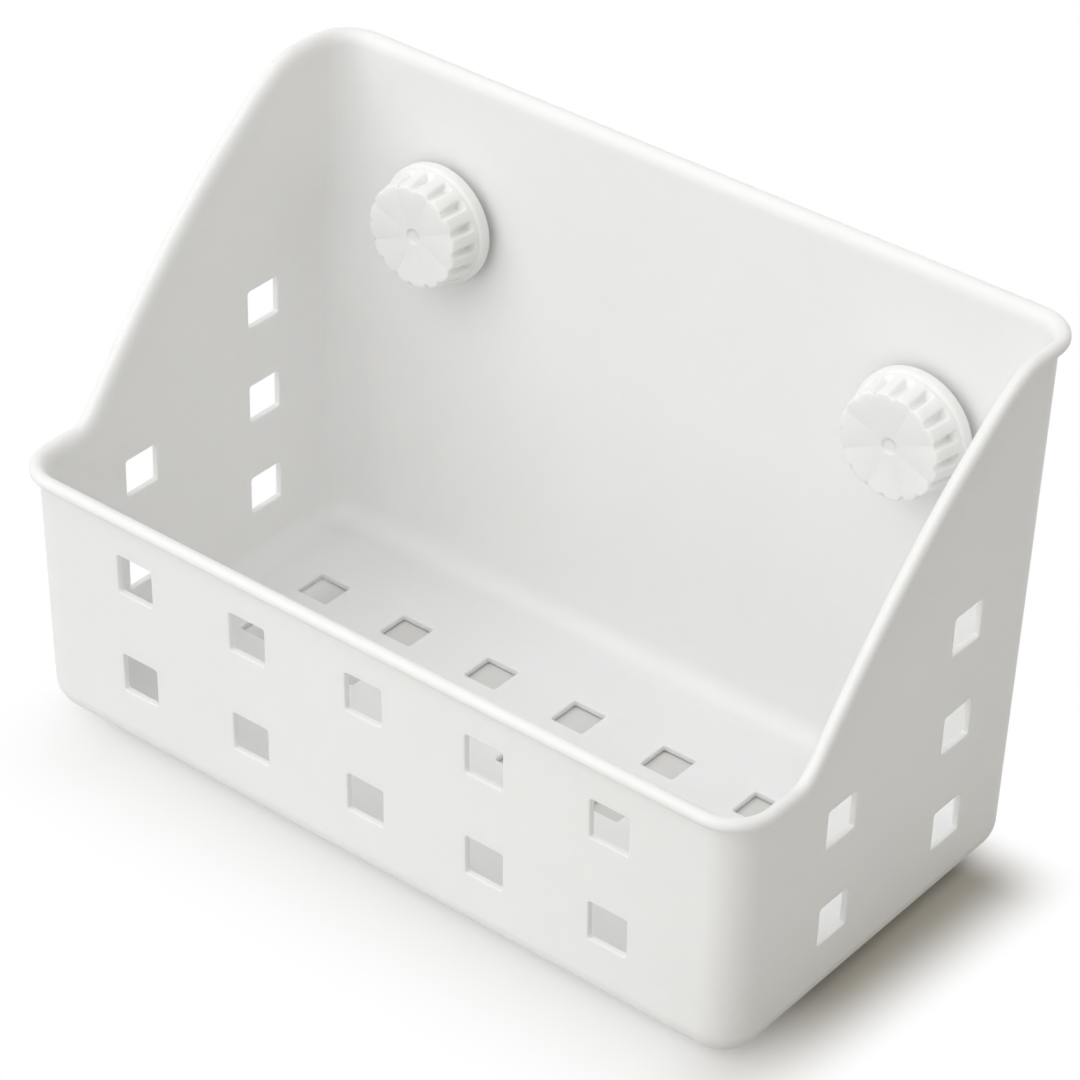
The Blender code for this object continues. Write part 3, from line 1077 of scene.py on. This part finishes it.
@dataclass
class SuctionCup:
    """The soft cup: a crown round the stud's foot, a sloping skirt, a flat flange and a tab."""

    crown_front: float = -0.0061
    crown_radius: float = 0.011
    shoulder: float = 0.0014
    pocket_radius: float = 0.0083
    pocket_front: float = -0.0076
    pocket_back: float = -0.0097
    bore_radius: float = 0.0041
    hollow_top: float = -0.0111
    rim: float = -0.0146
    flange_radius: float = 0.020
    flange_thickness: float = 0.0011
    radius: float = 0.0245
    tab_length: float = 0.007
    tab_width: float = 0.009
    tab_clearance: float = 0.0002
    tab_rounding: float = 0.45
    tab_steps: int = 12
    fixed_below: float = -0.0134
    pulled_above: float = -0.0112
    crown_steps: int = 6
    skirt_steps: int = 15
    lip_steps: int = 8
    hollow_steps: int = 24
    sides: int = 144

    def profile(self) -> Profile:
        """Draws the cup's section.

        Returns:
            Its points, from its pocket round to the hollow's middle.
        """
        front = self.rim + self.flange_thickness
        corner = self.shoulder / 2
        turn = (self.crown_radius - corner, self.crown_front - corner)
        hollow_height = self.hollow_top - self.rim
        reach = (self.flange_radius, hollow_height)
        hollow = arc((0, self.rim), reach, 0, 90, self.hollow_steps)
        lip = self.flange_thickness / 2
        return [
            (0, self.pocket_back),
            (self.pocket_radius, self.pocket_back),
            (self.pocket_radius, self.pocket_front),
            (self.bore_radius, self.pocket_front),
            (self.bore_radius, self.crown_front),
            *arc(turn, (corner, corner), 90, 0, self.crown_steps),
            (self.crown_radius, self.crown_front - self.shoulder),
            *self.skirt(front),
            *arc((self.radius - lip, self.rim + lip), (lip, lip), 90, -90, self.lip_steps),
            *hollow,
        ]

    def skirt(self, front: float) -> Profile:
        """The skirt's outer face, a cone from the crown down to the flange.

        Args:
            front: The flange's front face.

        Returns:
            Its points.
        """
        top = self.crown_front - self.shoulder
        points = []
        for step in range(1, self.skirt_steps + 1):
            share = step / self.skirt_steps
            radius = self.crown_radius + (self.flange_radius - self.crown_radius) * share
            points.append((radius, top + (front - top) * share))
        return points

    def tab(self) -> bmesh.types.BMesh:
        """The release tab at the cup's foot, rounded at its end.

        Returns:
            The closed tab.
        """
        thickness = self.flange_thickness - 2 * self.tab_clearance
        inner = (self.flange_radius + self.radius) / 2
        tip = self.radius + self.tab_length
        centre = Vector((0, -(inner + tip) / 2, self.rim + self.flange_thickness / 2))
        size = (self.tab_width, tip - inner, thickness, 1)
        scaled = Matrix.Translation(centre) @ Matrix.Diagonal(size)
        bm = bmesh.new()
        bmesh.ops.create_cube(bm, size=1, matrix=scaled)
        corners = [
            edge
            for edge in bm.edges
            if all(vert.co.y < centre.y for vert in edge.verts)
            and abs(edge.verts[0].co.z - edge.verts[1].co.z) > thickness / 2
        ]
        soften(bm, corners, self.tab_width * self.tab_rounding, self.tab_steps)
        return bm

    def build(self, finish: bpy.types.Material, side: Side, place: Matrix) -> bpy.types.Object:
        """Builds and dresses one cup, in the fixing's frame.

        Args:
            finish: Its material.
            side: The fixing that it belongs to.
            place: The fixing's frame.

        Returns:
            The cup.
        """
        blank = object_of("cup_blank", turned(self.profile(), self.sides))
        tab = object_of("release_tab", self.tab())
        bm = combined(blank, ((tab, "UNION"),))
        made = object_of(f"clear_cup_{side.value}", bm, place)
        made.data.materials.clear()
        made.data.materials.append(finish)
        start = place @ Vector((0, 0, self.fixed_below))
        end = place @ Vector((0, 0, self.pulled_above))
        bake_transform(made)
        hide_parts(f"suction_cup_{side.value}")
        LOG.info("%s: %d faces", made.name, len(made.data.polygons))
        return made


@dataclass
class ThreadedStud:
    """The stud: a round foot held in the cup, and a coarse thread that runs into the knob."""

    tip: float = 0.0085
    radius: float = 0.0038
    chamfer: float = 0.0006
    foot_radius: float = 0.008
    foot_front: float = -0.0079
    foot_back: float = -0.0094
    thread_start: float = -0.0056
    pitch: float = 0.002
    thread_depth: float = 0.0006
    thread_crest: float = 1.5
    thread_flank: float = 3.0
    rows_per_turn: int = 12
    edge_steps: int = 4
    sides: int = 72

    def build(self, finish: bpy.types.Material, side: Side, place: Matrix) -> bpy.types.Object:
        """Builds and dresses one stud.

        Args:
            finish: Its material.
            side: The fixing that it belongs to.
            place: The fixing's frame.

        Returns:
            The stud.
        """
        edge = self.chamfer / 3
        core = self.radius - self.thread_depth
        shaft = finely(
            [(self.radius, self.tip - self.chamfer), (self.radius, self.foot_front)],
            self.pitch / self.rows_per_turn,
        )
        profile = [(0, self.tip), (core, self.tip), *shaft]
        inset, round_off = self.foot_radius - edge, (edge, edge)
        profile += arc((inset, self.foot_front - edge), round_off, 90, 0, self.edge_steps)
        profile += arc((inset, self.foot_back + edge), round_off, 0, -90, self.edge_steps)
        profile.append((0, self.foot_back))
        bm = turned(profile, self.sides)
        for vert in bm.verts:
            if not self.thread_start < vert.co.z < self.tip - self.chamfer / 2:
                continue
            turns = math.atan2(vert.co.y, vert.co.x) / math.tau
            phase = vert.co.z / self.pitch - turns
            off_crest = abs(2 * (phase - math.floor(phase)) - 1)
            height = min(1, max(0, self.thread_crest - self.thread_flank * off_crest))
            radius = math.hypot(vert.co.x, vert.co.y)
            if radius > core:
                scale = (core + self.thread_depth * height) / radius
                vert.co.x *= scale
                vert.co.y *= scale
        made = object_of(f"stud_{side.value}", bm, place)
        body = f"{side.value}_stud"
        settle(made, finish, body, f"threaded_stud_{side.value}")
        return made


# The studio


@dataclass(frozen=True)
class Lamp:
    """A square soft light that looks at the basket."""

    name: str
    direction: tuple[float, float, float]
    power: float
    colour: Colour
    size: float = 2.0
    distance: float = 1.7

    def hang(self) -> None:
        """Hangs the lamp."""
        light = bpy.data.lights.new(self.name, "AREA")
        light.shape = "SQUARE"
        light.size = self.size
        light.color = self.colour
        light.energy = self.power
        made = bpy.data.objects.new(self.name, light)
        direction = Vector(self.direction).normalized()
        made.location = direction * self.distance
        made.rotation_euler = direction.to_track_quat("Z", "Y").to_euler()
        bpy.context.scene.collection.objects.link(made)


@dataclass
class Studio:
    """A white floor with a painted shadow along the basket's right side, three soft lamps, an
    even surround and the camera.
    """

    floor_half: float = 4.0
    floor_drop: float = 0.0002
    floor_pale: Colour = (0.70, 0.695, 0.68)
    # Painted shadow: the floor turns to this darker, warmer colour in a band along the basket's
    # right side, between the two ranges of x below.
    floor_painted_shadow: Colour = (0.53, 0.505, 0.45)
    painted_shadow_start: tuple[float, float] = (0.095, 0.118)
    painted_shadow_end: tuple[float, float] = (0.13, 0.17)
    # Each fade is a direction, and how far out that way the floor starts and ends to turn white.
    fades: tuple[tuple[tuple[float, float, float], float, float], ...] = (
        ((0.0, -1.0, 0.0), 0.020, 0.1085),
        ((0.0, 1.0, 0.0), 0.034, 0.058),
        ((-1.0, 0.0, 0.0), 0.085, 0.125),
        ((1.0, -0.06, 0.0), 0.1170, 0.1420),
    )
    surround: float = 0.385
    surround_colour: Colour = (1.0, 0.977, 0.922)
    lamps: tuple[Lamp, ...] = (
        Lamp("key_above", (-0.174, -0.28, 0.944), 13.4, (0.98, 0.985, 0.99)),
        Lamp("key_before", (-0.22, -0.86, 0.46), 14.4, (0.96, 0.98, 1.0)),
        Lamp("fill_behind", (0.0, 0.93, 0.37), 7.0, (1.0, 0.99, 0.97)),
    )
    camera_place: tuple[float, float, float] = (0.53362, -0.68794, 0.67044)
    camera_target: tuple[float, float, float] = (0.001894, -0.000792, 0.072406)
    camera_roll: float = math.radians(1.91)
    lens: float = 136.87

    def world(self) -> None:
        """Makes the surround: white where it is seen, softer where it lights."""
        world = bpy.data.worlds.new("surround")
        bpy.context.scene.world = world
        shader = Shader(world)
        lit = tuple(part * self.surround for part in self.surround_colour)
        colour = shader.blend(shader.seen(), (*lit, 1), (1, 1, 1, 1))
        shader.finish(shader.node("ShaderNodeBackground", inputs={"Color": colour}))

    def floor(self) -> None:
        """Lays the floor, which fades to plain white beyond each side of the basket, and carries
        a painted shadow: a darker floor colour in a band along the basket's right side.
        """
        bm = bmesh.new()
        place = Matrix.Translation((0, 0, -self.floor_drop))
        bmesh.ops.create_grid(bm, x_segments=1, y_segments=1, size=self.floor_half, matrix=place)
        made = object_of("studio_floor", bm)
        finish = bpy.data.materials.new("studio_white")
        shader = Shader(finish)
        across = shader.vector("DOT_PRODUCT", shader.place(), (1, 0, 0), output="Value")
        # Painted shadow: the share of the darker floor colour, rising past the basket's right
        # side and falling again further out.
        depth = across.eased(*self.painted_shadow_start) * (1 - across.eased(*self.painted_shadow_end))
        colour = shader.blend(depth, (*self.floor_pale, 1), (*self.floor_painted_shadow, 1))
        sockets = {"Base Color": colour, "Roughness": 1.0, "Specular IOR Level": 0.0}
        matte = shader.node("ShaderNodeBsdfPrincipled", inputs=sockets)
        glow = {"Color": (1, 1, 1, 1), "Strength": 1.0}
        white = shader.node("ShaderNodeEmission", inputs=glow)
        seen = shader.seen()
        shown = seen
        for outward, start, end in self.fades:
            reach = shader.vector("DOT_PRODUCT", shader.place(), outward, output="Value")
            shown = shown * (1 - reach.eased(start, end))
        mixed = {0: seen - shown, 1: matte, 2: white}
        shader.finish(shader.node("ShaderNodeMixShader", inputs=mixed))
        made.data.materials.append(finish)

    def camera(self) -> None:
        """Sets the camera at the photograph's place."""
        data = bpy.data.cameras.new("camera")
        data.sensor_width = 36
        data.lens = self.lens
        data.clip_end = 100
        made = bpy.data.objects.new("camera", data)
        place = Vector(self.camera_place)
        backward = place - Vector(self.camera_target)
        turn = backward.to_track_quat("Z", "Y").to_matrix().to_4x4()
        made.matrix_world = (
            Matrix.Translation(place) @ turn @ Matrix.Rotation(self.camera_roll, 4, "Z")
        )
        bpy.context.scene.collection.objects.link(made)
        bpy.context.scene.camera = made

    def build(self) -> None:
        """Builds the whole studio."""
        self.world()
        self.floor()
        for lamp in self.lamps:
            lamp.hang()
        self.camera()
        bpy.context.scene.view_settings.view_transform = "Standard"
        LOG.info("studio built")


def fixing_place(side: Side) -> Matrix:
    """A fixing's frame, from its knob's joint: origin on the wall's inner face, Z forward.

    Args:
        side: The fixing.

    Returns:
        The frame.
    """
    joint = next(j for j in frame["joints"] if j["name"] == f"{side.value}_knob_turn")
    forward = -Vector(joint["axis"])
    across = Vector((1, 0, 0))
    upward = forward.cross(across)
    turn = Matrix((across, upward, forward)).transposed().to_4x4()
    return Matrix.Translation(joint["pos_m"]) @ turn


def main() -> None:
    """Builds the basket, its two fixings and the studio."""
    logging.basicConfig(level=logging.INFO, format="%(name)s: %(message)s")
    basket_white = MouldedPlastic(
        "basket_white", (0.905, 0.904, 0.9), (0.893, 0.892, 0.887), 0.48, Grain.SATIN
    ).build()
    knob_white = MouldedPlastic(
        "knob_white", (0.9, 0.898, 0.885), (0.885, 0.882, 0.867), 0.5, Grain.FINE
    ).build()
    dome_white = MouldedPlastic(
        "dome_white", (0.84, 0.84, 0.83), (0.82, 0.82, 0.81), 0.4, Grain.SATIN
    ).build()
    stud_white = MouldedPlastic(
        "stud_white", (0.82, 0.81, 0.78), (0.79, 0.78, 0.75), 0.34, Grain.POLISHED
    ).build()
    clear = ClearVinyl("clear_vinyl").build()
    places = {side: fixing_place(side) for side in Side}
    Basket().build(basket_white, list(places.values()))
    for side, place in places.items():
        Knob().build(knob_white, side, place)
        PressureDome().build(dome_white, side, place)
        SuctionCup().build(clear, side, place)
        ThreadedStud().build(stud_white, side, place)
    Studio().build()


if __name__ == "__main__":
    main()
